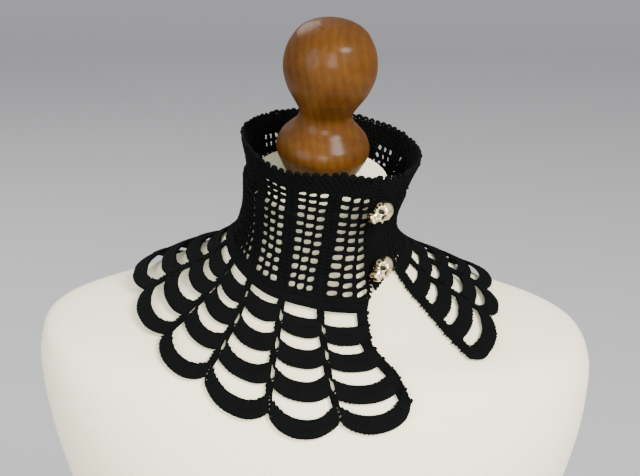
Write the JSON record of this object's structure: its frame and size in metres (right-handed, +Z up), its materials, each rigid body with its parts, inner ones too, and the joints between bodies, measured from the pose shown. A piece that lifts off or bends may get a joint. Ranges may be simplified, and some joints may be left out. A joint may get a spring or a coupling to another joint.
{
  "type": "crochet collar necklace on limbless dress form",
  "caption": "Crocheted openwork neckband with a scalloped lace skirt, buttoned on a limbless dress form with a turned neck finial.",
  "frame": {"origin": "middle of the dress form's footprint, on the surface it stands on", "axes": "+Z up the form, -Y out of its front (the chest), +X towards the form's own left, where the collar buttons"},
  "size_m": [0.393, 0.2262, 0.596],
  "materials": {
    "form_jersey": "matt ribbed jersey drawn over the form",
    "finial_wood": "varnished",
    "black_cotton": "matt crochet cotton",
    "gold_metal": "polished cast metal"
  },
  "bodies": {
    "root": {"dress_form_body": "form_jersey", "neck_finial": "finial_wood", "neckband": "black_cotton", "rim_edging": "black_cotton", "button_band": "black_cotton", "skirt_right": "black_cotton", "skirt_left": "black_cotton", "skull_button_upper": "gold_metal", "skull_button_lower": "gold_metal"}
  },
  "joints": []
}
